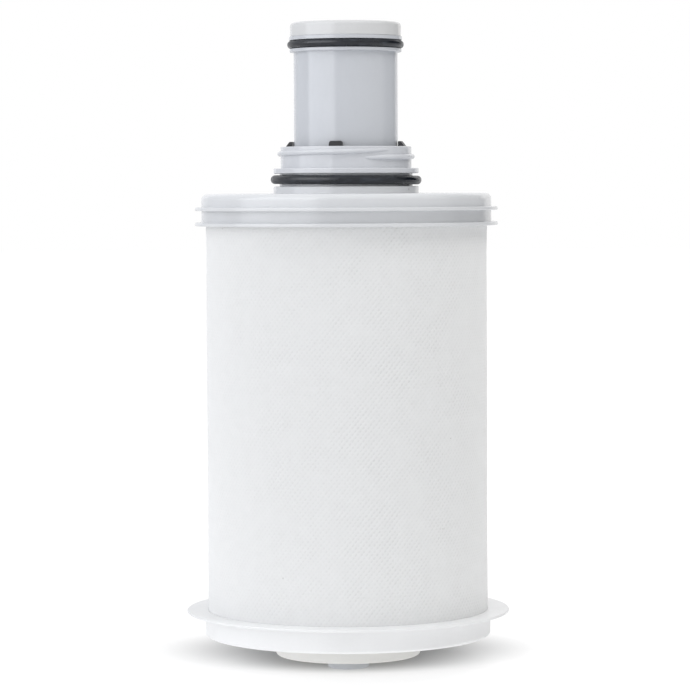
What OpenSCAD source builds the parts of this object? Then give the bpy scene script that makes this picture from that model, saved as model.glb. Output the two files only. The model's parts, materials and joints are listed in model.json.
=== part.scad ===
// Water purifier filter cartridge with a lamp inside a carbon block.
// Millimetres, +Z up. The origin is the middle of the foot's underside, on the cartridge's axis.
// The front is -Y. Every height is measured from the face that the cartridge stands on.

/* [Filter block] */
// Outer radius of the carbon block
block_r = 61.2; // [55:0.1:66]
// Radius of the block's bore
block_bore_r = 33.1; // [32.5:0.1:38]
// Length of the carbon block
block_len = 191.1; // [150:0.1:230]
// Thickness of the non-woven wrap round the block
wrap_t = 1.3; // [0.8:0.1:2]
// Thickness of the bonding bed at each end of the block
bed_t = 0.8; // [0.4:0.1:1.6]
// Wall of the perforated core tube
core_wall = 2.2; // [1.6:0.1:2.8]
// Rows of water slots in the core tube
core_rows = 6; // [3:1:8]
// Water slots in each row
core_columns = 8; // [4:1:10]
// Height of a water slot
core_slot_h = 16; // [8:0.5:18]
// Width of a water slot
core_slot_w = 7; // [4:0.5:9]

/* [Top end cap] */
// Thickness of the cap's top plate
plate_t = 2.4; // [1.8:0.1:3.2]
// Depth of the skirt, from the top face down to its rim
skirt_h = 14.25; // [12:0.05:20]
// Wall of the skirt
skirt_wall = 1.85; // [1.4:0.05:2.6]
// Radius of the rounded shoulder between the top face and the skirt
shoulder_edge = 2.6; // [1:0.1:3.2]
// How far the two fins stand out of the skirt
fin_out = 2.9; // [1.5:0.1:5]
// Thickness of a fin
fin_t = 1.55; // [1:0.05:2]
// Distance from one fin to the next
fin_pitch = 6.75; // [4:0.05:7.5]

/* [Collar] */
// Width of the ring-shaped outlet between the neck and the collar
outlet_gap = 3.9; // [3:0.1:5]
// Wall of the collar above its seal gland
collar_wall = 2.1; // [1.6:0.05:3]
// Height of the collar above the cap's top face
collar_h = 20.7; // [19:0.1:26]
// Height of the land under the gland
gland_base_h = 3.15; // [2:0.05:4]
// Width of the gland
gland_w = 5.65; // [4:0.05:6]
// Depth of the gland
gland_depth = 2.7; // [1.8:0.05:3]
// How far the gland's floor stands out of the collar's upper wall
gland_step = 0.5; // [0.2:0.05:1.4]
// Thickness of the land above the gland
gland_land_t = 2.3; // [1.5:0.05:3]
// Tilt of the loose seal ring in the gland, in degrees
collar_ring_tilt = 0.4; // [0:0.1:0.8]
// How far the inner lip that carries the retainer ring stands into the outlet
lip_w = 1.0; // [0.6:0.1:1.4]

/* [Collar thread] */
// Where the ridge starts, in degrees round from +X
thread_start = -76.4; // [-180:0.1:180]
// How far the ridge runs round the collar, in degrees
thread_turn = 396; // [360:1:420]
// Rise of the ridge in one turn
thread_lead = 2.75; // [1.5:0.05:3]
// Width of the ridge
thread_w = 2.3; // [1.4:0.1:2.6]
// How far the ridge stands out of the collar
thread_out = 1.5; // [0.8:0.1:2]
// Depth of the ridge's start below the collar's rim
thread_drop = 5.05; // [4.6:0.05:5.5]
// Stretch over which the ridge's lower end rises to its full height, in degrees
thread_fade_in = 24; // [10:1:60]
// Stretch over which its upper end narrows and runs out, in degrees
thread_fade_out = 60; // [10:1:90]

/* [Neck] */
// Outer radius of the neck's tube
neck_r = 23.1; // [22:0.1:26]
// Wall of the neck's tube
neck_wall = 2; // [1.6:0.05:2.2]
// Height of the neck above the cap's top face
neck_h = 75.7; // [70:0.1:90]
// How far the head stands out of the tube
head_out = 1.75; // [1.2:0.01:2.2]
// Height of the land below the head's groove
head_land_h = 1.55; // [1:0.05:3]
// Width of the head's groove
groove_w = 3.7; // [3.6:0.05:4.5]
// Depth of the head's groove
groove_depth = 2.55; // [2:0.01:2.7]
// Height of the lip above the head's groove
head_lip_h = 1.65; // [1:0.05:3]
// How far that lip stands out past the land below the groove
head_lip_out = 0.25; // [0:0.01:0.4]
// Height of the cap that closes the neck
neck_cap_h = 6.3; // [5:0.1:9]
// How far that cap stands in from the land below the groove
neck_cap_inset = 0.23; // [0:0.01:0.5]
// Wall and top thickness of that cap
neck_cap_wall = 2.3; // [1.8:0.1:2.6]
// Rounding of the cap's top edge
neck_cap_edge = 1.7; // [0.5:0.1:2]

/* [Retainer ring] */
// Height of the ring's base
retainer_h = 2.5; // [2:0.1:3.5]
// Width of each tab
tab_w = 5.8; // [4:0.1:8]
// How far the tabs stand up past the collar's rim
tab_rise = 2.3; // [1:0.1:4]
// Turn of the tabs round the axis, in degrees
tab_turn = -10.3; // [-45:0.1:45]

/* [Bottom end cap] */
// Thickness of the cup's floor
floor_t = 2; // [1.4:0.1:3]
// Height of the cup, from its underside to the top of its flange
cup_h = 11.6; // [8:0.1:16]
// Wall of the cup
cup_wall = 1.05; // [0.9:0.05:2]
// Rounding of the cup's lower edge
cup_edge = 1.4; // [0.5:0.1:2]
// How far the flange stands out of the cup
flange_out = 8.3; // [4:0.1:12]
// Thickness of the flange
flange_t = 1.1; // [0.8:0.05:1.8]

/* [Hub and foot] */
// Radius of the hub under the cup
hub_r = 32.3; // [30:0.1:36]
// Height of the hub below the cup
hub_h = 9.1; // [8:0.1:14]
// Thickness of the hub's floor
hub_floor_t = 2.5; // [1.8:0.1:3.5]
// Thickness of the hub's outer ring, which holds a face seal
hub_ring_wall = 5; // [4.6:0.1:6]
// Radius of the foot
foot_r = 9.2; // [7:0.1:14]
// Height of the foot below the hub
foot_h = 5.9; // [3:0.1:9]
// Radius of the foot's stem
foot_stem_r = 5; // [3:0.1:6]

/* [Seal rings] */
// Section of the neck's and the sleeve's seal rings
ring_d = 3.53; // [3.2:0.01:3.6]
// Section of the collar's seal ring
collar_ring_d = 3.9; // [3.2:0.05:4.2]
// Section of the hub's seal ring
hub_ring_d = 2.4; // [1.8:0.1:2.6]

/* [Lamp] */
// Wall of the quartz sleeve
sleeve_wall = 1.5; // [1:0.1:2]
// Radius of the lamp's tube
lamp_r = 7.5; // [6:0.1:8]
// Wall of the lamp's base and end cap
lamp_cap_wall = 0.8; // [0.5:0.1:1.2]
// Length of the lamp's base
lamp_base_h = 17.5; // [14:0.5:20]
// Length of the lamp's end cap
lamp_end_h = 12; // [10:0.5:16]
// Height of the lamp holder's skirt above its flange
holder_rim_h = 13; // [9:0.5:18]
// Radius of a lamp lead
lead_r = 0.6; // [0.4:0.05:0.9]

/* [Power pick-up] */
// Height of the wound coil
coil_h = 14.9; // [8:0.1:20]
// Radius of the bobbin's barrel
bobbin_r = 15; // [13:0.1:16]
// Wall of the bobbin
bobbin_wall = 1.5; // [1:0.1:2]
// Thickness of the circuit board
board_t = 1.6; // [1:0.1:2.4]
// Length of the capacitor
capacitor_len = 14; // [8:0.5:16]
// Width of the capacitor
capacitor_w = 6; // [4:0.5:8]
// Height of the capacitor
capacitor_h = 11; // [6:0.5:14]
// Side of the square tag chip
tag_w = 6; // [3:0.5:6]
// Thickness of the tag chip
tag_t = 1.2; // [0.6:0.1:2]

/* [Hidden] */
$fn = 96;

// Clearances: parts that slide together, and the wrap in its cups
fit_gap = 0.2;
snug_gap = 0.1;
wrap_gap = 0.15;
ring_stretch = 0.06;
// Cuts run this far past the faces that they open
cut = 1;
// Small broken edge on moulded rims
rim_edge = 0.4;

// Heights, from the foot up
hub_z = foot_h;
cup_z = hub_z + hub_h;
media_z = cup_z + floor_t;
block_z = media_z + bed_t;
block_top = block_z + block_len;
plate_z = block_top + bed_t;
top_z = plate_z + plate_t;
cup_top = cup_z + cup_h;
skirt_z = top_z - skirt_h;
collar_top = top_z + collar_h;
neck_top = top_z + neck_h;
seam_z = neck_top - neck_cap_h;
head_z = seam_z - head_lip_h - groove_w - head_land_h;
groove_z = head_z + head_land_h;
gland_z = top_z + gland_base_h;

// Radii of the media and its two caps
wrap_r = block_r + wrap_t;
media_bore_r = wrap_r + wrap_gap;
skirt_r = media_bore_r + skirt_wall;
fin_r = skirt_r + fin_out;
cup_r = media_bore_r + cup_wall;
flange_r = cup_r + flange_out;
core_r = block_bore_r - fit_gap;
core_bore_r = core_r - core_wall;

// Radii of the neck and collar
head_r = neck_r + head_out;
groove_r = head_r - groove_depth;
neck_bore_r = neck_r - neck_wall;
outlet_r = neck_r + outlet_gap;
lip_r = outlet_r - lip_w;
collar_r = outlet_r + collar_wall;
gland_r = collar_r + gland_step;
gland_land_r = gland_r + gland_depth;

// The sleeve's seal sits in a seat at the foot of the neck, under a ring nut
seat_step = 0.57;
seat_r = neck_bore_r - seat_step;
sleeve_r = seat_r - ring_d;
sleeve_bore_r = sleeve_r - sleeve_wall;
housing_flange_t = 2.5;
housing_z = plate_z - housing_flange_t;
seat_floor_t = 2;
seat_z = housing_z + seat_floor_t;
nut_z = seat_z + ring_d;
nut_thread_h = 4.2;
nut_head_h = 3.1;
nut_head_z = nut_z + nut_thread_h;
nut_top = nut_head_z + nut_head_h;
sleeve_top = nut_top - snug_gap;
stack_r = neck_bore_r - fit_gap;

// The sleeve's round end stands in a cushion in the hub
cushion_gap = 0.1;
cushion_t = 2.6;
cushion_h = 11.6;
cushion_wall = 1.25;
hub_floor_z = hub_z + hub_floor_t;
dome_z = hub_floor_z + cushion_t + cushion_gap + sleeve_r;
spigot_bore_r = sleeve_r + cushion_wall + snug_gap;
spigot_wall = 2.4;
spigot_r = spigot_bore_r + spigot_wall;
spigot_top = media_z + 5;
hub_hole_r = spigot_r + fit_gap;
bead_out = 0.9;
bead_h = 1.6;
hub_groove_w = hub_ring_d + 0.6;
hub_groove_r = hub_r - hub_ring_wall / 2;

// Lamp and its holder
lamp_cap_r = lamp_r + snug_gap + lamp_cap_wall;
holder_flange_t = 3;
holder_z = nut_top;
holder_top = holder_z + holder_flange_t + holder_rim_h;
holder_socket_r = lamp_cap_r + 3.6;
holder_socket_h = 14;
holder_wall = 2;
lamp_base_top = holder_z - 2;
lamp_base_z = lamp_base_top - lamp_base_h;
lamp_base_crown = 3.5;
lamp_end_z = dome_z - 4;
lamp_end_crown = 2;
lamp_top = lamp_base_top - lamp_base_crown - snug_gap;
lamp_z = lamp_end_z + lamp_end_crown + snug_gap;
spacer_z = dome_z + 1;
spacer_h = 3.5;
wire_z = spacer_z + spacer_h + snug_gap;
wire_orbit = lamp_cap_r + snug_gap + lead_r;
lead_orbit = 5;

// Board, bobbin and coil above the holder
board_z = holder_top;
board_top = board_z + board_t;
cap_spigot_wall = 1.8;
cap_spigot_z = seam_z - 3.4;
bobbin_flange_t = 1.5;
bobbin_top = cap_spigot_z;
coil_top = bobbin_top - bobbin_flange_t - snug_gap;
coil_z = coil_top - coil_h;
bobbin_flange_z = coil_z - snug_gap - bobbin_flange_t;
coil_r = stack_r - 0.7;
coil_edge = 1.2;
coil_lead_orbit = (bobbin_r + coil_r) / 2;

// Retainer ring in the outlet
retainer_z = top_z;
retainer_r = outlet_r - fit_gap;
retainer_bore_r = neck_r + fit_gap;
snap_depth = 0.4;
snap_z = retainer_z + 0.9;
snap_h = 1.2;
tab_top = collar_top + tab_rise;
port_in_r = neck_r + 0.8;
port_web = 6;
tab_peak_w = 1.2;
tab_corner = 0.9;
TAB_COUNT = 4;

// Outline helpers

// Waste of a rounded corner of an outline: side and face point out of the material.
module corner(r, z, edge, side = 1, face = 1) {
    difference() {
        translate([side > 0 ? r - edge : r - cut, face > 0 ? z - edge : z - cut])
            square(edge + cut);
        translate([r - side * edge, z - face * edge])
            circle(edge);
    }
}

// Rectangle in a turned outline, from one radius and height to another.
module band(r0, r1, z0, z1) {
    translate([r0, z0])
        square([r1 - r0, z1 - z0]);
}

// Plain ring with square edges.
module ring(r0, r1, z0, z1) {
    rotate_extrude()
        band(r0, r1, z0, z1);
}

// Part of a ring between two angles.
module ring_sector(r0, r1, z0, z1, a0, a1) {
    rotate([0, 0, a0])
        rotate_extrude(angle = a1 - a0)
            band(r0, r1, z0, z1);
}

// Seal ring of round section, touching radius r_in from outside, its middle at height z.
module seal_ring(r_in, d, z) {
    translate([0, 0, z])
        rotate_extrude()
            translate([r_in + d / 2, 0])
                circle(d = d);
}

// Upright straight wires on one orbit.
module wires(count, orbit, r, z0, z1, turn = 0) {
    for (i = [0 : count - 1])
        rotate([0, 0, turn + i * 360 / count])
            translate([orbit, 0, z0])
                cylinder(r = r, h = z1 - z0);
}

// Block with rounded upright edges, standing on z = 0.
module rounded_block(size, edge) {
    linear_extrude(size[2])
        difference() {
            square([size[0], size[1]], center = true);
            for (sx = [-1, 1], sy = [-1, 1])
                scale([sx, sy])
                    corner(size[0] / 2, size[1] / 2, edge);
        }
}

// Collar thread: one rounded ridge that climbs the collar, swept point by point

THREAD_STEPS = 66;
THREAD_ARCS = 6;
thread_sink = 0.6;
thread_tip_sink = 0.3;
thread_tip_w = 0.3;
thread_flank = 70;
thread_z = collar_top - thread_drop;

// Share of the ridge's full size at angle a along it: it rises and falls smoothly at the two ends.
function thread_share(a) =
    sin(90 * min(1, a / thread_fade_in, (thread_turn - a) / thread_fade_out));

// Point j of the ridge's section at angle a along it: the first and the last lie inside the wall.
// Both ends dip into the wall, and towards its upper end the ridge narrows from below.
function thread_point(a, j) =
    let (share = thread_share(a))
    let (half_w = thread_w / 2 * (thread_tip_w + (1 - thread_tip_w) * share))
    let (lift = 2 * a > thread_turn ? thread_w / 2 - half_w : 0)
    let (out = (thread_out + thread_tip_sink) * share - thread_tip_sink)
    let (inside = (j == 0 || j == THREAD_ARCS + 2))
    let (t = inside ? (j == 0 ? -90 : 90) : thread_flank * (2 * (j - 1) / THREAD_ARCS - 1))
    let (r = collar_r + (inside ? -thread_sink : out * pow(cos(t), 0.75)))
    let (z = thread_z + thread_lead * a / 360 + lift + half_w * sin(t))
    [r * cos(thread_start + a), r * sin(thread_start + a), z];

module thread_ridge() {
    n = THREAD_ARCS + 3;
    points = [for (i = [0 : THREAD_STEPS], j = [0 : n - 1]) thread_point(i * thread_turn / THREAD_STEPS, j)];
    sides = [for (i = [0 : THREAD_STEPS - 1], j = [0 : n - 1])
        [i * n + j, i * n + (j + 1) % n, (i + 1) * n + (j + 1) % n, (i + 1) * n + j]];
    start = [[for (j = [0 : n - 1]) n - 1 - j]];
    end = [[for (j = [0 : n - 1]) THREAD_STEPS * n + j]];
    polyhedron(points, concat(sides, start, end), convexity = 6);
}

// Outer mouldings

// Fin of the skirt with a rounded rim, its underside at height z.
module fin(z) {
    difference() {
        band(skirt_r - cut, fin_r, z, z + fin_t);
        corner(fin_r, z + fin_t, rim_edge);
        corner(fin_r, z, rim_edge, face = -1);
    }
}

module top_end_cap_outline() {
    difference() {
        union() {
            band(lip_r, skirt_r, skirt_z, top_z);
            band(lip_r, gland_land_r, top_z - cut, gland_z + gland_w + gland_land_t);
            band(lip_r, collar_r, top_z, collar_top);
            fin(skirt_z);
            fin(skirt_z + fin_pitch);
        }
        corner(skirt_r, top_z, shoulder_edge);
        band(0, media_bore_r, skirt_z - cut, plate_z);
        band(0, outlet_r, top_z, collar_top + cut);
        band(gland_r, gland_land_r + cut, gland_z, gland_z + gland_w);
        corner(gland_land_r, gland_z + gland_w + gland_land_t, rim_edge);
        corner(gland_land_r, gland_z + gland_w, rim_edge, face = -1);
        corner(gland_land_r, gland_z, rim_edge);
        corner(collar_r, collar_top, rim_edge);
        corner(outlet_r, collar_top, rim_edge, side = -1);
    }
}

module top_end_cap() {
    color("gainsboro")
        union() {
            rotate_extrude()
                top_end_cap_outline();
            thread_ridge();
        }
}

module collar_o_ring() {
    color([0.13, 0.13, 0.15])
        translate([0, 0, gland_z + gland_w / 2])
            rotate([0, collar_ring_tilt, 0])
                seal_ring(gland_r + ring_stretch, collar_ring_d, 0);
}

// One tab of the retainer ring: it rises through the outlet and leans in above the rim.
module retainer_tab() {
    intersection() {
        rotate([90, 0, 0])
            translate([0, 0, -tab_w / 2])
                linear_extrude(tab_w)
                    polygon([
                        [port_in_r, retainer_z + retainer_h - cut],
                        [retainer_r + cut, retainer_z + retainer_h - cut],
                        [retainer_r + cut, collar_top],
                        [retainer_r, collar_top],
                        [port_in_r + tab_peak_w, tab_top],
                        [port_in_r, tab_top]
                    ]);
        ring(port_in_r, retainer_r, retainer_z, tab_top);
        rotate([90, 0, 90])
            linear_extrude(retainer_r + cut)
                difference() {
                    translate([-tab_w / 2, retainer_z])
                        square([tab_w, tab_top - retainer_z]);
                    corner(tab_w / 2, tab_top, tab_corner);
                    mirror([1, 0])
                        corner(tab_w / 2, tab_top, tab_corner);
                }
    }
}

module retainer_ring() {
    tab_step = 360 / TAB_COUNT;
    tab_span = 2 * asin(tab_w / 2 / port_in_r) + port_web;
    port_span = (tab_step - tab_span - 2 * port_web) / 3;
    color([0.09, 0.09, 0.1])
        rotate([0, 0, tab_turn])
            union() {
                difference() {
                    union() {
                        ring(retainer_bore_r, retainer_r, retainer_z, retainer_z + retainer_h);
                        ring(neck_r - snap_depth + snug_gap, retainer_bore_r + snug_gap,
                            snap_z + snug_gap, snap_z + snap_h - snug_gap);
                    }
                    for (i = [0 : TAB_COUNT - 1], k = [0 : 2]) {
                        port = i * tab_step + tab_span / 2 + k * (port_span + port_web);
                        ring_sector(port_in_r, lip_r, retainer_z - cut, retainer_z + retainer_h + cut,
                            port, port + port_span);
                    }
                }
                for (i = [0 : TAB_COUNT - 1])
                    rotate([0, 0, i * tab_step])
                        retainer_tab();
            }
}

module bottom_end_cap() {
    color("whitesmoke")
        rotate_extrude()
            difference() {
                union() {
                    band(hub_hole_r, cup_r, cup_z, cup_top);
                    band(cup_r - cut, flange_r, cup_top - flange_t, cup_top);
                }
                band(0, media_bore_r, media_z, cup_top + cut);
                corner(cup_r, cup_z, cup_edge, face = -1);
                corner(flange_r, cup_top, rim_edge);
                corner(flange_r, cup_top - flange_t, rim_edge, face = -1);
            }
}

module bottom_hub() {
    pocket_r = hub_r - hub_ring_wall;
    color("linen")
        rotate_extrude()
            difference() {
                union() {
                    band(foot_stem_r + snug_gap, hub_r, hub_z, cup_z);
                    band(spigot_bore_r, spigot_r, hub_floor_z, spigot_top);
                    band(spigot_bore_r, spigot_r + bead_out, media_z + snug_gap, media_z + snug_gap + bead_h);
                }
                band(spigot_r, pocket_r, hub_floor_z, cup_z + snug_gap);
                band(0, spigot_bore_r, hub_floor_z, spigot_top + cut);
                band(hub_groove_r - hub_groove_w / 2, hub_groove_r + hub_groove_w / 2,
                    cup_z - hub_ring_d, cup_z + cut);
                corner(hub_r, hub_z, cup_edge, face = -1);
                corner(spigot_r + bead_out, media_z + snug_gap + bead_h, bead_out / 2);
            }
}

module hub_o_ring() {
    color([0.13, 0.13, 0.15])
        seal_ring(hub_groove_r - hub_ring_d / 2, hub_ring_d, cup_z - hub_ring_d / 2);
}

module foot_plug() {
    color([0.74, 0.76, 0.79])
        rotate_extrude()
            difference() {
                union() {
                    band(0, foot_r, 0, foot_h);
                    band(0, foot_stem_r, foot_h - cut, hub_floor_z);
                }
                corner(foot_r, 0, 2 * rim_edge, face = -1);
            }
}

// Neck

module lamp_housing_outline() {
    difference() {
        union() {
            band(sleeve_r + fit_gap, core_bore_r - fit_gap, housing_z, plate_z);
            band(sleeve_r + fit_gap, neck_r, housing_z, head_z + cut);
            band(sleeve_r + fit_gap, head_r, head_z, seam_z);
            band(head_r - cut, head_r + head_lip_out, groove_z + groove_w, seam_z);
        }
        band(0, seat_r, seat_z, seam_z + cut);
        band(0, neck_bore_r, nut_head_z, seam_z + cut);
        band(groove_r, head_r + cut, groove_z, groove_z + groove_w);
        band(neck_r - snap_depth, neck_r + cut, snap_z, snap_z + snap_h);
        corner(head_r, head_z, rim_edge, face = -1);
        corner(head_r, groove_z, rim_edge / 2);
        corner(head_r + head_lip_out, groove_z + groove_w, rim_edge / 2, face = -1);
        corner(head_r + head_lip_out, seam_z, rim_edge / 2);
    }
}

// Ports in the housing's flange let the water rise into the outlet.
module lamp_housing() {
    port_count = 8;
    port_step = 360 / port_count;
    color([0.8, 0.81, 0.85])
        difference() {
            rotate_extrude()
                lamp_housing_outline();
            for (i = [0 : port_count - 1])
                ring_sector(port_in_r, lip_r, housing_z - cut, plate_z + cut,
                    i * port_step + port_web, (i + 1) * port_step - port_web);
        }
}

module neck_cap() {
    cap_r = head_r - neck_cap_inset;
    ceiling = neck_top - neck_cap_wall;
    color([0.84, 0.85, 0.88])
        rotate_extrude()
            difference() {
                band(0, cap_r, cap_spigot_z, neck_top);
                band(stack_r, cap_r + cut, cap_spigot_z - cut, seam_z);
                band(stack_r, cap_r - neck_cap_wall, seam_z - snug_gap, ceiling);
                band(0, stack_r - cap_spigot_wall, cap_spigot_z - cut, ceiling);
                corner(cap_r, neck_top, neck_cap_edge);
                corner(cap_r, seam_z, rim_edge / 2, face = -1);
            }
}

module neck_o_ring() {
    color([0.13, 0.13, 0.15])
        seal_ring(groove_r + ring_stretch, ring_d, groove_z + groove_w / 2);
}

// Power pick-up in the head of the neck

module coil_bobbin() {
    barrel_bore_r = bobbin_r - bobbin_wall;
    window_h = (bobbin_flange_z - board_top) / 2;
    color("ivory")
        difference() {
            rotate_extrude()
                union() {
                    band(barrel_bore_r, bobbin_r, board_top, bobbin_top);
                    band(barrel_bore_r, stack_r, bobbin_flange_z, bobbin_flange_z + bobbin_flange_t);
                    band(barrel_bore_r, stack_r, coil_top + snug_gap, bobbin_top);
                }
            for (i = [0 : 2])
                rotate([0, 0, 60 + i * 120])
                    translate([0, -bobbin_r / 4, board_top - cut])
                        cube([bobbin_r + cut, bobbin_r / 2, window_h + cut]);
            wires(2, coil_lead_orbit, lead_r + snug_gap, bobbin_flange_z - cut, coil_z);
        }
}

module pickup_coil() {
    color([0.72, 0.38, 0.18])
        rotate_extrude()
            difference() {
                band(bobbin_r + snug_gap, coil_r, coil_z, coil_top);
                corner(coil_r, coil_top, coil_edge);
                corner(coil_r, coil_z, coil_edge, face = -1);
            }
}

module coil_leads() {
    color([0.72, 0.38, 0.18])
        wires(2, coil_lead_orbit, lead_r, board_top, coil_z);
}

module circuit_board() {
    color("darkgreen")
        difference() {
            translate([0, 0, board_z])
                cylinder(r = stack_r, h = board_t);
            wires(4, lead_orbit, lead_r + snug_gap, board_z - cut, board_top + cut, 45);
        }
}

module resonant_capacitor() {
    color("firebrick")
        translate([0, -capacitor_w / 2, board_top])
            rounded_block([capacitor_len, capacitor_w, capacitor_h], capacitor_w / 6);
}

module id_tag() {
    color([0.12, 0.12, 0.13])
        translate([0, capacitor_w / 2 + tag_w / 2, board_top])
            rounded_block([tag_w, tag_w, tag_t], tag_w / 20);
}

// Lamp

// Holder: its skirt carries the board, and its socket reaches down into the sleeve.
module lamp_holder() {
    color("white")
        difference() {
            rotate_extrude()
                difference() {
                    union() {
                        band(0, stack_r, holder_z, holder_top);
                        band(0, holder_socket_r, holder_z - holder_socket_h, holder_z + cut);
                    }
                    band(0, stack_r - holder_wall, holder_z + holder_flange_t, holder_top + cut);
                    band(0, lamp_cap_r + snug_gap, holder_z - holder_socket_h - cut, lamp_base_top);
                }
            wires(4, lead_orbit, lead_r + snug_gap, lamp_base_top - cut, holder_top, 45);
        }
}

module lamp_leads() {
    color("silver")
        wires(4, lead_orbit, lead_r, lamp_base_top, board_z + board_t, 45);
}

module lamp_base() {
    color("antiquewhite")
        rotate_extrude()
            difference() {
                band(0, lamp_cap_r, lamp_base_z, lamp_base_top);
                band(0, lamp_r + snug_gap, lamp_base_z - cut, lamp_top + snug_gap);
            }
}

module uv_lamp() {
    end_edge = lamp_r / 2;
    color([0.8, 0.88, 0.95])
        rotate_extrude()
            difference() {
                band(0, lamp_r, lamp_z, lamp_top);
                corner(lamp_r, lamp_top, end_edge);
                corner(lamp_r, lamp_z, end_edge, face = -1);
            }
}

module lamp_end_cap() {
    color("antiquewhite")
        rotate_extrude()
            difference() {
                band(0, lamp_cap_r, lamp_end_z, lamp_end_z + lamp_end_h);
                band(0, lamp_r + snug_gap, lamp_z - snug_gap, lamp_end_z + lamp_end_h + cut);
            }
}

// The far end's current returns along the lamp to the holder.
module return_wire() {
    color("silver")
        wires(1, wire_orbit, lead_r, wire_z, holder_z - holder_socket_h);
}

module lamp_spacer() {
    notch_count = 6;
    color("silver")
        difference() {
            ring(lamp_cap_r + snug_gap, sleeve_bore_r - snug_gap, spacer_z, spacer_z + spacer_h);
            for (i = [0 : notch_count - 1])
                ring_sector(lamp_cap_r + 2, sleeve_bore_r + cut, spacer_z - cut, spacer_z + spacer_h + cut,
                    i * 360 / notch_count, (i + 0.5) * 360 / notch_count);
        }
}

// Outline of the sleeve's outside or inside: a straight tube that ends in a half ball.
module dome_outline(r, top) {
    union() {
        band(0, r, dome_z, top);
        intersection() {
            translate([0, dome_z])
                circle(r);
            band(0, r + cut, dome_z - r - cut, dome_z + cut);
        }
    }
}

module quartz_sleeve() {
    color([0.85, 0.92, 0.97, 0.5])
        rotate_extrude()
            difference() {
                dome_outline(sleeve_r, sleeve_top);
                dome_outline(sleeve_bore_r, sleeve_top + cut);
            }
}

module sleeve_o_ring() {
    color([0.13, 0.13, 0.15])
        seal_ring(sleeve_r, ring_d, seat_z + ring_d / 2);
}

module sleeve_nut() {
    notch_w = 4;
    color("lightgray")
        difference() {
            rotate_extrude()
                union() {
                    band(sleeve_r + fit_gap, seat_r - snug_gap, nut_z, nut_top);
                    band(sleeve_r + fit_gap, stack_r, nut_head_z, nut_top);
                }
            for (i = [0 : 3])
                rotate([0, 0, i * 90])
                    translate([sleeve_r, -notch_w / 2, nut_top - nut_head_h / 2])
                        cube([neck_r - sleeve_r, notch_w, nut_head_h]);
        }
}

module sleeve_cushion() {
    color("dimgray")
        rotate_extrude()
            difference() {
                band(0, spigot_bore_r - snug_gap, hub_floor_z, hub_floor_z + cushion_h);
                translate([0, dome_z])
                    circle(sleeve_r + cushion_gap);
            }
}

// Filter media

module core_tube() {
    end_h = 10;
    row_pitch = (plate_z - media_z - 2 * end_h) / core_rows;
    color("white")
        difference() {
            ring(core_bore_r, core_r, media_z, plate_z);
            for (row = [0 : core_rows - 1], i = [0 : core_columns - 1])
                rotate([0, 0, (i + (row % 2) / 2) * 360 / core_columns])
                    translate([core_bore_r - cut, -core_slot_w / 2,
                        media_z + end_h + (row + 0.5) * row_pitch - core_slot_h / 2])
                        cube([core_wall + 2 * cut, core_slot_w, core_slot_h]);
        }
}

module carbon_block() {
    color([0.16, 0.16, 0.16])
        ring(block_bore_r, block_r, block_z, block_top);
}

module prefilter_wrap() {
    color("white")
        ring(block_r, wrap_r, block_z, block_top);
}

// Bonding bed that fills the gap between the media's end and a cap.
module bond_bed(z) {
    ring(core_r, wrap_r, z, z + bed_t);
}

module top_bond_bed() {
    color("wheat")
        bond_bed(block_top);
}

module bottom_bond_bed() {
    color("wheat")
        bond_bed(media_z);
}

top_end_cap();
collar_o_ring();
retainer_ring();
lamp_housing();
neck_cap();
neck_o_ring();
coil_bobbin();
pickup_coil();
coil_leads();
circuit_board();
resonant_capacitor();
id_tag();
lamp_holder();
lamp_leads();
lamp_base();
uv_lamp();
lamp_end_cap();
return_wire();
lamp_spacer();
quartz_sleeve();
sleeve_o_ring();
sleeve_nut();
sleeve_cushion();
core_tube();
carbon_block();
prefilter_wrap();
top_bond_bed();
bottom_bond_bed();
bottom_end_cap();
bottom_hub();
hub_o_ring();
foot_plug();
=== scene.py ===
import json
import math

import bpy
from mathutils import Matrix, Vector, noise


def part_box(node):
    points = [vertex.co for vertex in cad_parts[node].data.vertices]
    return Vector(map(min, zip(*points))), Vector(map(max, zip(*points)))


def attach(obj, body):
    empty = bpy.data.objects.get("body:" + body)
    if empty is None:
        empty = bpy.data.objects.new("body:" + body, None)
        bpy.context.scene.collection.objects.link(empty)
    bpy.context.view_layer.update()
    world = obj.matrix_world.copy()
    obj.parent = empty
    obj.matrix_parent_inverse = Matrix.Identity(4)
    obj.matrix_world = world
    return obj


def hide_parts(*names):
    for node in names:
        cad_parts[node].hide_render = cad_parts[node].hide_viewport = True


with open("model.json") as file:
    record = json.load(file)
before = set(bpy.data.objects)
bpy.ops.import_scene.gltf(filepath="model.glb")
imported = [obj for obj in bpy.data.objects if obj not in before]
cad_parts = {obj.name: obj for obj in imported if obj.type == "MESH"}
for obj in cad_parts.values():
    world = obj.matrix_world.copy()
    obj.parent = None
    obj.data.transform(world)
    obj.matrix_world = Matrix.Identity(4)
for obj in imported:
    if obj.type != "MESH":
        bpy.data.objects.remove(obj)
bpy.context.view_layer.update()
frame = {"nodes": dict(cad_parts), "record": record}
nodes = frame["nodes"]
MM = 0.001

# Nodes of a material

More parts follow.
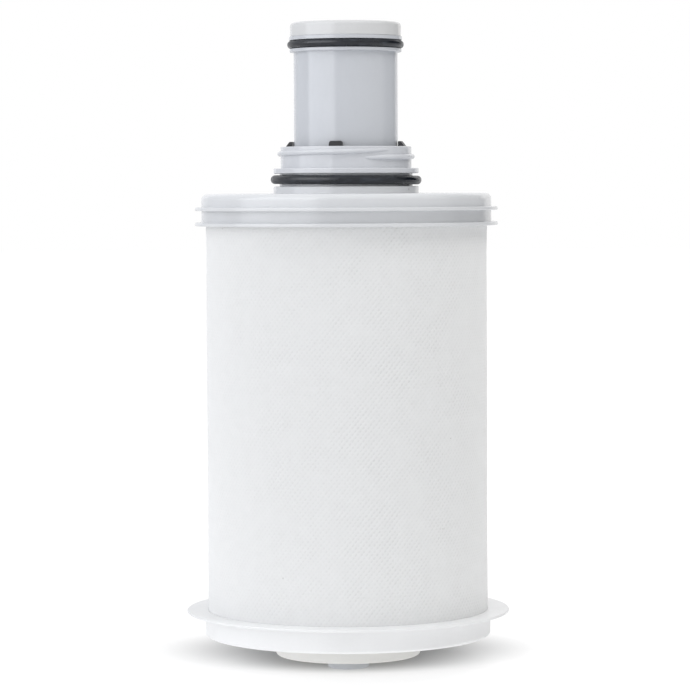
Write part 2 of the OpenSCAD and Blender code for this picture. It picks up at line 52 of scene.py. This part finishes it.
class Look:
    """One procedural material. Lengths in it are in millimetres, measured on the object."""

    def __init__(self, name, colour, rough, **sockets):
        self.mat = bpy.data.materials.new(name)
        self.mat.use_nodes = True
        self.tree = self.mat.node_tree
        self.shader = self.tree.nodes["Principled BSDF"]
        self.shader.inputs["Base Color"].default_value = (*colour, 1)
        self.shader.inputs["Roughness"].default_value = rough
        self.mat.diffuse_color = (*colour, 1)
        self.mat.roughness = rough
        for socket, value in sockets.items():
            self.shader.inputs[socket.replace("_", " ")].default_value = value
        self.colour = colour
        where = self.tree.nodes.new("ShaderNodeTexCoord").outputs["Object"]
        scaled = self.node("ShaderNodeVectorMath", where, operation="SCALE")
        scaled.inputs["Scale"].default_value = 1000
        self.place = scaled.outputs[0]
        self.bumps = None

    def node(self, kind, *inputs, **settings):
        made = self.tree.nodes.new(kind)
        for key, value in settings.items():
            setattr(made, key, value)
        for socket, value in zip(made.inputs, inputs):
            self.put(socket, value)
        return made

    def put(self, socket, value):
        if isinstance(value, bpy.types.NodeSocket):
            self.tree.links.new(value, socket)
        elif value is not None:
            socket.default_value = value

    def maths(self, operation, *inputs, clamp=False):
        return self.node("ShaderNodeMath", *inputs, operation=operation, use_clamp=clamp).outputs[0]

    def axes(self, place=None):
        return self.node("ShaderNodeSeparateXYZ", place or self.place).outputs

    def join(self, x, y, z):
        return self.node("ShaderNodeCombineXYZ", x, y, z).outputs[0]

    def stretch(self, factors, place=None):
        return self.node("ShaderNodeVectorMath", place or self.place, factors, operation="MULTIPLY").outputs[0]

    def noise(self, size, detail=2.0, rough=0.5, place=None, shift=0.0):
        """Noise from 0 to 1 whose lumps are about size millimetres across."""
        made = self.node("ShaderNodeTexNoise", noise_dimensions="4D", normalize=True)
        self.put(made.inputs["Vector"], place or self.place)
        made.inputs["W"].default_value = shift
        made.inputs["Scale"].default_value = 1 / size
        made.inputs["Detail"].default_value = detail
        made.inputs["Roughness"].default_value = rough
        return made.outputs["Fac"]

    def cells(self, size, feature="F1", place=None):
        made = self.node("ShaderNodeTexVoronoi", feature=feature)
        self.put(made.inputs["Vector"], place or self.place)
        made.inputs["Scale"].default_value = 1 / size
        return made.outputs["Distance"]

    def ramp(self, value, low, high, to_low=0.0, to_high=1.0, smooth=True):
        made = self.node("ShaderNodeMapRange", interpolation_type="SMOOTHSTEP" if smooth else "LINEAR")
        for socket, v in zip(("Value", "From Min", "From Max", "To Min", "To Max"), (value, low, high, to_low, to_high)):
            self.put(made.inputs[socket], v)
        return made.outputs["Result"]

    def mix(self, share, a, b):
        """Colour a where share is 0, b where it is 1."""
        made = self.node("ShaderNodeMix", data_type="RGBA")
        self.put(made.inputs[0], share)
        for socket, value in ((made.inputs[6], a), (made.inputs[7], b)):
            self.put(socket, (*value, 1) if isinstance(value, tuple) else value)
        return made.outputs[2]

    def shades(self, share, dark, light=1.0, base=None):
        """The material's colour times a factor that goes from dark to light with share."""
        base = base or self.colour
        return self.mix(share, tuple(c * dark for c in base), tuple(c * light for c in base))

    def paint(self, colour):
        self.put(self.shader.inputs["Base Color"], colour)

    def roughen(self, share, low, high):
        self.put(self.shader.inputs["Roughness"], self.ramp(share, 0, 1, low, high, smooth=False))

    def bump(self, height, depth, strength=1.0):
        """Relief of depth millimetres for a height from 0 to 1."""
        made = self.node("ShaderNodeBump")
        made.inputs["Strength"].default_value = strength
        made.inputs["Distance"].default_value = depth * MM
        self.put(made.inputs["Height"], height)
        if self.bumps:
            self.put(made.inputs["Normal"], self.bumps)
        self.bumps = made.outputs[0]
        self.put(self.shader.inputs["Normal"], self.bumps)


def specks(look, size, share, colour, paint):
    """Sparse fine specks: the given share of the cells of that size holds one."""
    made = look.node("ShaderNodeTexVoronoi", feature="F1")
    look.put(made.inputs["Vector"], look.place)
    made.inputs["Scale"].default_value = 1 / size
    chosen = look.maths("LESS_THAN", look.axes(made.outputs["Color"])[0], share)
    near = look.ramp(made.outputs["Distance"], 0.05, 0.13, 1, 0)
    return look.mix(look.maths("MULTIPLY", chosen, near), paint, colour)


GLOSSY = 0.15


def moulded(name, colour, rough, mottle=0.02, grain=0.004, **sockets):
    """Injection-moulded plastic: faint flow clouds, slightly uneven gloss, a fine skin and a little dust."""
    look = Look(name, colour, rough, **sockets)
    clouds = look.noise(26, 3, 0.55, look.stretch((1, 1, 0.45)))
    fine = look.noise(1.1, 2, 0.6, shift=3)
    both = look.maths("ADD", look.maths("MULTIPLY", clouds, 0.75), look.maths("MULTIPLY", fine, 0.25))
    paint = look.shades(look.ramp(both, 0.3, 0.7), 1 - mottle, 1 + mottle)
    paint = specks(look, 5.5, 0.05, tuple(c * 0.72 for c in colour), paint)
    look.paint(paint)
    look.roughen(look.ramp(look.noise(7, 4, 0.6, shift=5), 0.25, 0.75), rough - 0.04, rough + 0.06)
    look.bump(look.noise(0.5, 2, 0.5, shift=8), grain)
    look.bump(look.noise(9, 1, 0.4, shift=9), 0.03)
    return look


def cap_plastic():
    """Glossy grey-white plastic; the thin collar above the plate is painted greyer and a little bluer, a painted shade
    for the light that passes through its thin wall.
    """
    look = moulded("cap_plastic_look", (0.70, 0.712, 0.73), GLOSSY, IOR=1.5)
    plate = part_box("collar_o_ring")[0].z / MM
    body = look.shader.inputs["Base Color"].links[0].from_socket
    thin = look.ramp(look.axes()[2], plate - 2, plate + 2, 0, 1)
    # Painted shade: the collar above the plate is multiplied by a grey-blue tint.
    collar_shade = look.node("ShaderNodeMix", data_type="RGBA", blend_type="MULTIPLY")
    for socket, value in ((collar_shade.inputs[0], thin), (collar_shade.inputs[6], body), (collar_shade.inputs[7], (0.93, 0.935, 0.955, 1))):
        look.put(socket, value)
    look.paint(collar_shade.outputs[2])
    return look


def neck_plastic():
    return moulded("neck_plastic_look", (0.575, 0.595, 0.63), GLOSSY, IOR=1.5)


def neck_cap_plastic():
    return moulded("neck_cap_plastic_look", (0.66, 0.665, 0.67), 0.2, IOR=1.5)


def cup_plastic():
    return moulded("cup_plastic_look", (0.82, 0.825, 0.83), 0.34, IOR=1.48)


def hub_plastic():
    return moulded("hub_plastic_look", (0.78, 0.775, 0.75), 0.42, IOR=1.48)


def inner_plastic():
    return moulded("inner_plastic_look", (0.78, 0.78, 0.75), 0.42, mottle=0.03, IOR=1.48)


def black_plastic():
    look = moulded("black_plastic_look", (0.022, 0.022, 0.025), 0.36, mottle=0.12, grain=0.01, IOR=1.5)
    return look


def seal_rubber():
    """Greased black rubber: streaks of grease round the ring that vary its gloss and are painted lighter and bluer as
    a painted sheen, fine pores and a few lint specks.
    """
    look = Look("seal_rubber_look", (0.007, 0.009, 0.014), 0.4, IOR=1.52)
    x, y, z = look.axes()
    turn = look.maths("MULTIPLY", look.maths("ARCTAN2", x, y), 9)
    grease_and_sheen = look.noise(2.2, 3, 0.6, look.join(turn, z, look.maths("MULTIPLY", z, 0.3)))
    look.roughen(look.ramp(grease_and_sheen, 0.35, 0.65), 0.24, 0.5)
    # Painted sheen: the grease streaks lighten the colour toward a pale blue-grey.
    paint = look.mix(look.ramp(grease_and_sheen, 0.5, 0.72, 0.0, 0.45), look.colour, (0.07, 0.08, 0.10))
    look.paint(specks(look, 2.6, 0.06, (0.2, 0.2, 0.2), paint))
    look.bump(look.noise(0.25, 2, 0.6), 0.008)
    return look


# Small dark specks in the wrap: millimetres round from the front, height, radius
SPOTS = ((50, 106, 0.35), (45, 67, 0.35), (-29, 47, 0.35), (-65, 197, 0.35))


def nonwoven():
    """Point-bonded non-woven: staggered bond dots drawn out along one diagonal, with painted shade in their pits,
    ridges between them, loose fibres, patchy pressing that weakens toward the left.
    """
    pitch, row, lean = 2.3, 1.4, math.atan2(1.4, 1.15)
    look = Look("nonwoven_look", (0.83, 0.835, 0.835), 0.85, IOR=1.45, Sheen_Weight=0.12, Diffuse_Roughness=0.6)
    x, y, z = look.axes()
    around = look.maths("MULTIPLY", look.maths("ARCTAN2", x, look.maths("MULTIPLY", y, -1)), 62.5)
    flat = look.join(around, z, 0.0)
    drift_u = look.maths("MULTIPLY", look.maths("SUBTRACT", look.noise(9, 2, 0.5, flat, 1), 0.5), 1.1)
    drift_v = look.maths("MULTIPLY", look.maths("SUBTRACT", look.noise(9, 2, 0.5, flat, 2), 0.5), 0.8)
    u, v = look.maths("ADD", around, drift_u), look.maths("ADD", z, drift_v)

    def dots(shift):
        """How far into a bond dot a point of one half of the lattice lies, from 0 to 1."""
        p, q = (
            look.maths("MULTIPLY", look.maths("SUBTRACT", look.maths("FRACT", look.maths("ADD", look.maths("DIVIDE", c, step), shift)), 0.5), step)
            for c, step in ((u, pitch), (v, 2 * row))
        )
        along = look.maths("ADD", look.maths("MULTIPLY", p, math.cos(lean)), look.maths("MULTIPLY", q, math.sin(lean)))
        across = look.maths("SUBTRACT", look.maths("MULTIPLY", q, math.cos(lean)), look.maths("MULTIPLY", p, math.sin(lean)))
        far = look.maths("SQRT", look.maths("ADD", look.maths("POWER", look.maths("DIVIDE", along, 0.72), 2.0), look.maths("POWER", look.maths("DIVIDE", across, 0.42), 2.0)))
        return look.ramp(far, 0.55, 1.05, 1, 0)

    pits = look.maths("MAXIMUM", dots(0.0), dots(0.5))
    across = look.maths("SUBTRACT", look.maths("MULTIPLY", v, math.cos(lean)), look.maths("MULTIPLY", u, math.sin(lean)))
    ridges = look.maths("MULTIPLY_ADD", look.maths("COSINE", look.maths("MULTIPLY", across, 2 * math.pi / (pitch * math.sin(lean)))), 0.5, 0.5)
    side = look.ramp(around, -75, 25, 0.45, 1.0)
    pressed = look.maths("MULTIPLY", look.ramp(look.noise(13, 3, 0.6, flat, 4), 0.3, 0.7, 0.35, 1.0), side)
    deep = look.maths("MULTIPLY", pits, look.maths("MULTIPLY", pressed, look.ramp(look.noise(1.9, 1, 0.5, flat, 6), 0.25, 0.75, 0.55, 1.0)))
    fibres = look.noise(0.9, 4, 0.7, look.join(look.maths("ADD", around, look.maths("MULTIPLY", z, 0.6)), look.maths("MULTIPLY", z, 0.35), 0.0), 7)
    clouds = look.noise(5, 4, 0.65, flat, 9)
    paint = look.shades(look.ramp(clouds, 0.3, 0.7), 0.99, 1.01)
    paint = look.mix(look.maths("MULTIPLY", look.ramp(fibres, 0.35, 0.75), 0.10), paint, (0.93, 0.935, 0.93))
    # Painted shade: the bond dots are painted darker, as the shade in their pits.
    paint = look.mix(look.maths("MULTIPLY", deep, 0.28), paint, (0.6, 0.605, 0.6))
    for turn, height, size in SPOTS:
        off_u, off_z = look.maths("SUBTRACT", around, turn), look.maths("SUBTRACT", z, height)
        off = look.maths("SQRT", look.maths("ADD", look.maths("POWER", off_u, 2.0), look.maths("POWER", off_z, 2.0)))
        paint = look.mix(look.ramp(off, size * 0.4, size, 0.6, 0.0), paint, (0.34, 0.33, 0.31))
    look.paint(paint)
    look.bump(look.maths("SUBTRACT", 1.0, deep), 0.12)
    look.bump(look.maths("SUBTRACT", 1.0, look.maths("MULTIPLY", ridges, pressed)), 0.03)
    look.bump(fibres, 0.11)
    look.bump(look.noise(0.45, 2, 0.6, flat, 13), 0.03)
    look.bump(look.noise(17, 2, 0.5, flat, 11), 0.2)
    return look


def carbon():
    look = Look("carbon_look", (0.03, 0.03, 0.031), 0.75)
    grains = look.cells(0.9)
    look.paint(look.shades(look.ramp(grains, 0.1, 0.7), 2.2, 0.5))
    look.roughen(look.ramp(look.noise(0.8, 2, 0.6), 0.3, 0.7), 0.45, 0.9)
    look.bump(grains, 0.25)
    return look


def bond():
    look = Look("bond_look", (0.72, 0.66, 0.5), 0.45, IOR=1.5)
    look.paint(look.shades(look.ramp(look.noise(8, 3, 0.6), 0.3, 0.7), 0.9, 1.06))
    look.roughen(look.noise(5, 2, 0.5, shift=2), 0.3, 0.6)
    look.bump(look.noise(3, 2, 0.5), 0.2)
    return look


def quartz():
    look = Look("quartz_look", (0.93, 0.97, 0.99), 0.05, IOR=1.46, Transmission_Weight=0.9)
    look.paint(look.shades(look.ramp(look.noise(12, 2, 0.5), 0.3, 0.7), 0.96, 1.0))
    look.roughen(look.noise(6, 4, 0.7, look.stretch((1, 1, 0.2))), 0.02, 0.14)
    look.bump(look.noise(4, 1, 0.5, look.stretch((1, 1, 0.15))), 0.01)
    return look


def ceramic():
    look = Look("ceramic_look", (0.78, 0.75, 0.67), 0.6, IOR=1.55)
    look.paint(specks(look, 1.6, 0.2, (0.45, 0.4, 0.32), look.shades(look.noise(5, 3, 0.6), 0.94, 1.04)))
    look.roughen(look.noise(2, 3, 0.6, shift=2), 0.5, 0.75)
    look.bump(look.noise(0.4, 2, 0.6), 0.02)
    return look


def copper():
    """Enamelled wire in close turns, with painted shade in the grooves between them."""
    look = Look("copper_look", (0.62, 0.26, 0.12), 0.3, Metallic=1.0, Coat_Weight=0.4)
    z = look.axes()[2]
    turns = look.maths("ABSOLUTE", look.maths("SINE", look.maths("MULTIPLY", z, math.pi / 0.8)))
    # Painted shade: the colour darkens in the grooves between the turns.
    look.paint(look.shades(turns, 0.45, 1.15))
    look.roughen(look.noise(4, 3, 0.6), 0.2, 0.42)
    look.bump(turns, 0.3)
    return look


def steel():
    look = Look("steel_look", (0.55, 0.55, 0.57), 0.32, Metallic=1.0)
    drawn = look.noise(0.5, 3, 0.6, look.stretch((1, 1, 0.04)))
    look.paint(look.shades(drawn, 0.85, 1.1))
    look.roughen(drawn, 0.22, 0.45)
    look.bump(drawn, 0.01)
    return look


def board():
    """Coated laminate: green mask over a faint glass weave and copper tracks."""
    look = Look("board_look", (0.015, 0.16, 0.055), 0.35, IOR=1.5, Coat_Weight=0.4)
    x, y, z = look.axes()
    weave = look.maths("MULTIPLY", look.maths("SINE", look.maths("MULTIPLY", x, 7.0)), look.maths("SINE", look.maths("MULTIPLY", y, 7.0)))
    tracks = look.ramp(look.cells(4.5, "DISTANCE_TO_EDGE"), 0.03, 0.06, 1, 0)
    paint = look.shades(look.ramp(weave, -1, 1), 0.9, 1.1)
    look.paint(look.mix(look.maths("MULTIPLY", tracks, 0.7), paint, (0.05, 0.32, 0.12)))
    look.bump(tracks, 0.05)
    look.roughen(look.noise(6, 2, 0.5), 0.28, 0.42)
    return look


def capacitor_case():
    look = Look("capacitor_case_look", (0.4, 0.04, 0.03), 0.4, IOR=1.5)
    look.paint(look.shades(look.noise(3, 3, 0.6), 0.85, 1.12))
    look.roughen(look.noise(2, 2, 0.6, shift=3), 0.3, 0.5)
    look.bump(look.noise(1.5, 2, 0.5), 0.05)
    return look


LOOKS = {make.__name__: make() for make in (
    cap_plastic, neck_plastic, cup_plastic, hub_plastic, inner_plastic, black_plastic, seal_rubber, nonwoven,
    carbon, bond, quartz, ceramic, copper, steel, board, capacitor_case, neck_cap_plastic)}

for row in frame["record"]["subparts"]:
    slots = nodes[row["node"]].material_slots
    for slot in slots:
        slot.material = LOOKS[row["material_slot"]].mat
nodes["neck_cap"].material_slots[0].material = LOOKS["neck_cap_plastic"].mat

# The wrap: one sheet round the block, its lap at the back, its two ends tucked into the caps

WRAP_R, WRAP_IN_R = 62.42, 61.25
LAP, LAP_UP = 9.0, 0.16
low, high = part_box("prefilter_wrap")
wrap_z0, wrap_z1 = low.z / MM + 0.2, high.z / MM - 0.2
TUCK_R, TUCK_UP = 62.6, 0.15


def wrap_radius(turn, z):
    """Outer radius of the wrap, with turn in radians from the front, positive to the right."""
    s = (math.pi - turn) * WRAP_R if turn > 0 else (math.pi + turn) * WRAP_R
    r = WRAP_R
    if turn < 0 and s < LAP + 2:
        r += LAP_UP * min(1, max(0, (LAP + 2 - s) / 2))
    if turn > 0 and s < 14:
        r -= 0.14 * (1 - s / 14) ** 2
    x, y = math.sin(turn) * 62.5, -math.cos(turn) * 62.5
    free = min(1, max(0, (z - 27) / 10), max(0, (197.6 - z) / 10))
    wave = noise.noise(Vector((x / 30, y / 30, z / 55))) * 0.13 + noise.noise(Vector((x / 11, y / 11, z / 17 + 9))) * 0.05
    r += wave * (0.25 + 0.75 * free) + TUCK_UP * (1 - free)
    return min(r, TUCK_R + free)


def wrap_angles():
    """Angles round the wrap from the lap's edge, with close steps at the lap."""
    steps = [(-math.pi + 0.02 / WRAP_R)]
    even = 380
    for i in range(1, even):
        steps.append(-math.pi + 2 * math.pi * i / even)
    steps += [math.pi - 0.02 / WRAP_R]
    for extra in (0.3, 1.0):
        steps += [-math.pi + extra / WRAP_R, math.pi - extra / WRAP_R]
    return sorted(steps)


def make_wrap():
    turns = wrap_angles()
    rows = 96
    heights = [wrap_z0 + (wrap_z1 - wrap_z0) * j / rows for j in range(rows + 1)]
    verts, faces = [], []
    for z in heights:
        for t in turns:
            r = wrap_radius(t, z)
            verts.append((math.sin(t) * r * MM, -math.cos(t) * r * MM, z * MM))
    wide = len(turns)
    for j in range(rows):
        for i in range(wide):
            k = (i + 1) % wide
            faces.append((j * wide + i, j * wide + k, (j + 1) * wide + k, (j + 1) * wide + i))
    inside, rim = len(verts), rows * wide
    for z in (wrap_z0, wrap_z1):
        verts += [(math.sin(t) * WRAP_IN_R * MM, -math.cos(t) * WRAP_IN_R * MM, z * MM) for t in turns]
    for i in range(wide):
        k = (i + 1) % wide
        faces.append((inside + k, inside + i, inside + wide + i, inside + wide + k))
        faces.append((k, i, inside + i, inside + k))
        faces.append((rim + i, rim + k, inside + wide + k, inside + wide + i))
    mesh = bpy.data.meshes.new("fabric_wrap")
    mesh.from_pydata(verts, [], faces)
    mesh.update()
    piece = bpy.data.objects.new("fabric_wrap", mesh)
    bpy.context.scene.collection.objects.link(piece)
    mesh.materials.append(LOOKS["nonwoven"].mat)
    for p in mesh.polygons:
        p.use_smooth = True
    mesh.set_sharp_from_angle(angle=math.radians(40))
    return piece


wrap = make_wrap()
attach(wrap, "root")
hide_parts("prefilter_wrap")

# Camera, at the photograph's viewing angle

CAMERA_BACK, CAMERA_UP = 1.3953, 0.2159
PITCH, ROLL, YAW = math.radians(2.931), math.radians(0.270), math.radians(-0.035)
camera = bpy.data.objects.new("camera", bpy.data.cameras.new("camera"))
bpy.context.scene.collection.objects.link(camera)
camera.matrix_world = (
    Matrix.Translation((0, -CAMERA_BACK, CAMERA_UP))
    @ Matrix.Rotation(-YAW, 4, "Z")
    @ Matrix.Rotation(math.pi / 2 - PITCH, 4, "X")
    @ Matrix.Rotation(-ROLL, 4, "Z")
)
camera.data.lens = 163.3
camera.data.sensor_width = 36
camera.data.clip_start, camera.data.clip_end = 0.05, 50
bpy.context.scene.camera = camera
bpy.context.scene.view_settings.view_transform = "Standard"

# Floor: pale. To the camera it shows a painted shadow over a dimmed share of its real shadow. The painted shadow is an
# ellipse behind the axis, darkest at the foot, with white beyond. Under the object it glows to light it from below.

floor_mesh = bpy.data.meshes.new("floor")
floor_mesh.from_pydata([(-9, -9, 0), (9, -9, 0), (9, 9, 0), (-9, 9, 0)], [], [(0, 1, 2, 3)])
floor = bpy.data.objects.new("floor", floor_mesh)
bpy.context.scene.collection.objects.link(floor)
ground = Look("floor_look", (0.88, 0.88, 0.88), 0.9, Specular_IOR_Level=0.0)
seen = ground.node("ShaderNodeLightPath").outputs


def floor_distance(wide, deep, back):
    """Distance on the floor from a point behind the axis, 1 on an ellipse of those half sizes in millimetres."""
    x, y, z = ground.axes()
    across, along = ground.maths("DIVIDE", x, wide), ground.maths("DIVIDE", ground.maths("SUBTRACT", y, back), deep)
    return ground.maths("SQRT", ground.maths("ADD", ground.maths("POWER", across, 2.0), ground.maths("POWER", along, 2.0)))


lit_below = ground.ramp(floor_distance(150, 150, 0), 0.5, 1.0, 0.40, 0.0)
# Painted shadow: emission seen by the camera lifts the floor to white outside an ellipse behind the axis, and less
# near the foot.
painted_shadow_glow = ground.ramp(floor_distance(100, 90, 55), 0.28, 0.98, 0.0, 0.76)
painted_shadow_glow = ground.maths("MULTIPLY", painted_shadow_glow, ground.ramp(floor_distance(60, 36, 14), 0.15, 1.0, 0.4, 1.0))
# The camera sees the floor at about a third of its albedo, so only a dimmed share of its real shadow shows.
ground.paint(ground.mix(seen["Is Camera Ray"], (0.88, 0.88, 0.88), (0.308, 0.308, 0.308)))
glow = ground.maths("ADD", ground.maths("MULTIPLY", seen["Is Camera Ray"], painted_shadow_glow), ground.maths("MULTIPLY", seen["Is Diffuse Ray"], lit_below))
ground.put(ground.shader.inputs["Emission Color"], (1.0, 1.0, 1.0, 1.0))
ground.put(ground.shader.inputs["Emission Strength"], glow)
ground.mat.cycles.emission_sampling = "NONE"
floor_mesh.materials.append(ground.mat)

# World: soft grey studio light, brighter from the left; white where the camera, gloss and glass see the backdrop

world = bpy.data.worlds.new("studio")
bpy.context.scene.world = world
world.use_nodes = True
tree = world.node_tree
backdrop = tree.nodes["Background"]


def wnode(kind, *inputs, **settings):
    made = tree.nodes.new(kind)
    for key, value in settings.items():
        setattr(made, key, value)
    for socket, value in zip(made.inputs, inputs):
        if isinstance(value, bpy.types.NodeSocket):
            tree.links.new(value, socket)
        elif value is not None:
            socket.default_value = value
    return made.outputs[0]


def wmath(operation, *inputs, clamp=False):
    return wnode("ShaderNodeMath", *inputs, operation=operation, use_clamp=clamp)


towards = tree.nodes.new("ShaderNodeTexCoord").outputs["Generated"]
split = tree.nodes.new("ShaderNodeSeparateXYZ")
tree.links.new(towards, split.inputs[0])
dx, dy, dz = split.outputs
turn = wmath("MULTIPLY", wmath("ARCTAN2", dx, wmath("MULTIPLY", dy, -1.0)), 180 / math.pi)


def wstep(value, at, width, low, high):
    """Smooth step from low to high around a direction in degrees."""
    made = tree.nodes.new("ShaderNodeMapRange")
    made.interpolation_type = "SMOOTHSTEP"
    for socket, v in zip(("From Min", "From Max", "To Min", "To Max"), (at - width / 2, at + width / 2, low, high)):
        made.inputs[socket].default_value = v
    tree.links.new(value, made.inputs["Value"])
    return made.outputs["Result"]


# What the gloss sees, by direction round the object: 0 is towards the camera, negative to its left
panels = 1.0
for at, change in ((-147, -0.3), (-90, 2.7), (-24, -2.7), (92, -0.75), (142, 1.0)):
    panels = wmath("ADD", panels, wstep(turn, at, 5, 0.0, change))
above = wstep(dz, 0.7, 0.5, 0.0, 1.0)
panels = wmath("ADD", wmath("MULTIPLY", panels, wmath("SUBTRACT", 1.0, above)), wmath("MULTIPLY", above, 0.8))
soft = wmath("ADD", wmath("MULTIPLY", dx, -0.42), 0.64)
soft = wmath("ADD", soft, wmath("MULTIPLY", dy, -0.05))
soft = wmath("ADD", soft, wmath("SUBTRACT", wstep(turn, -88, 5, 0.0, 0.6), wstep(turn, -26, 5, 0.0, 0.6)))
soft = wmath("ADD", soft, wstep(turn, 125, 20, 0.0, 0.7))
path = tree.nodes.new("ShaderNodeLightPath").outputs


def wmix(share, a, b):
    made = tree.nodes.new("ShaderNodeMix")
    for socket, value in zip(made.inputs[:1] + made.inputs[2:4], (share, a, b)):
        if isinstance(value, bpy.types.NodeSocket):
            tree.links.new(value, socket)
        else:
            socket.default_value = value
    return made.outputs[0]


level = wmix(path["Is Glossy Ray"], soft, panels)
level = wmix(wmath("MAXIMUM", path["Is Camera Ray"], path["Is Transmission Ray"]), level, 1.0)
tree.links.new(level, backdrop.inputs["Strength"])
tint = tree.nodes.new("ShaderNodeMix")
tint.data_type = "RGBA"
tree.links.new(wstep(dx, 0.0, 2.0, 0.0, 1.0), tint.inputs[0])
tint.inputs[6].default_value, tint.inputs[7].default_value = (0.98, 0.995, 1.03, 1), (1.015, 1.0, 0.98, 1)
plain = tree.nodes.new("ShaderNodeMix")
plain.data_type = "RGBA"
tree.links.new(path["Is Camera Ray"], plain.inputs[0])
tree.links.new(tint.outputs[2], plain.inputs[6])
plain.inputs[7].default_value = (1, 1, 1, 1)
tree.links.new(plain.outputs[2], backdrop.inputs["Color"])


def softbox(name, place, target, wide, tall, radiance, colour=(1, 1, 1)):
    """Area lamp that faces its target; radiance is how bright its face is, where white is 1."""
    data = bpy.data.lights.new(name, "AREA")
    data.shape = "RECTANGLE"
    data.size, data.size_y = wide, tall
    data.energy = radiance * math.pi * wide * tall
    data.color = colour
    lamp = bpy.data.objects.new(name, data)
    bpy.context.scene.collection.objects.link(lamp)
    lamp.location = place
    lamp.rotation_euler = (Vector(place) - Vector(target)).to_track_quat("Z", "Y").to_euler()
    return lamp


overhead = softbox("overhead", (0.7, -0.5, 1.6), (0, 0, 0.1), 0.9, 0.9, 4.0)
overhead.visible_glossy = False
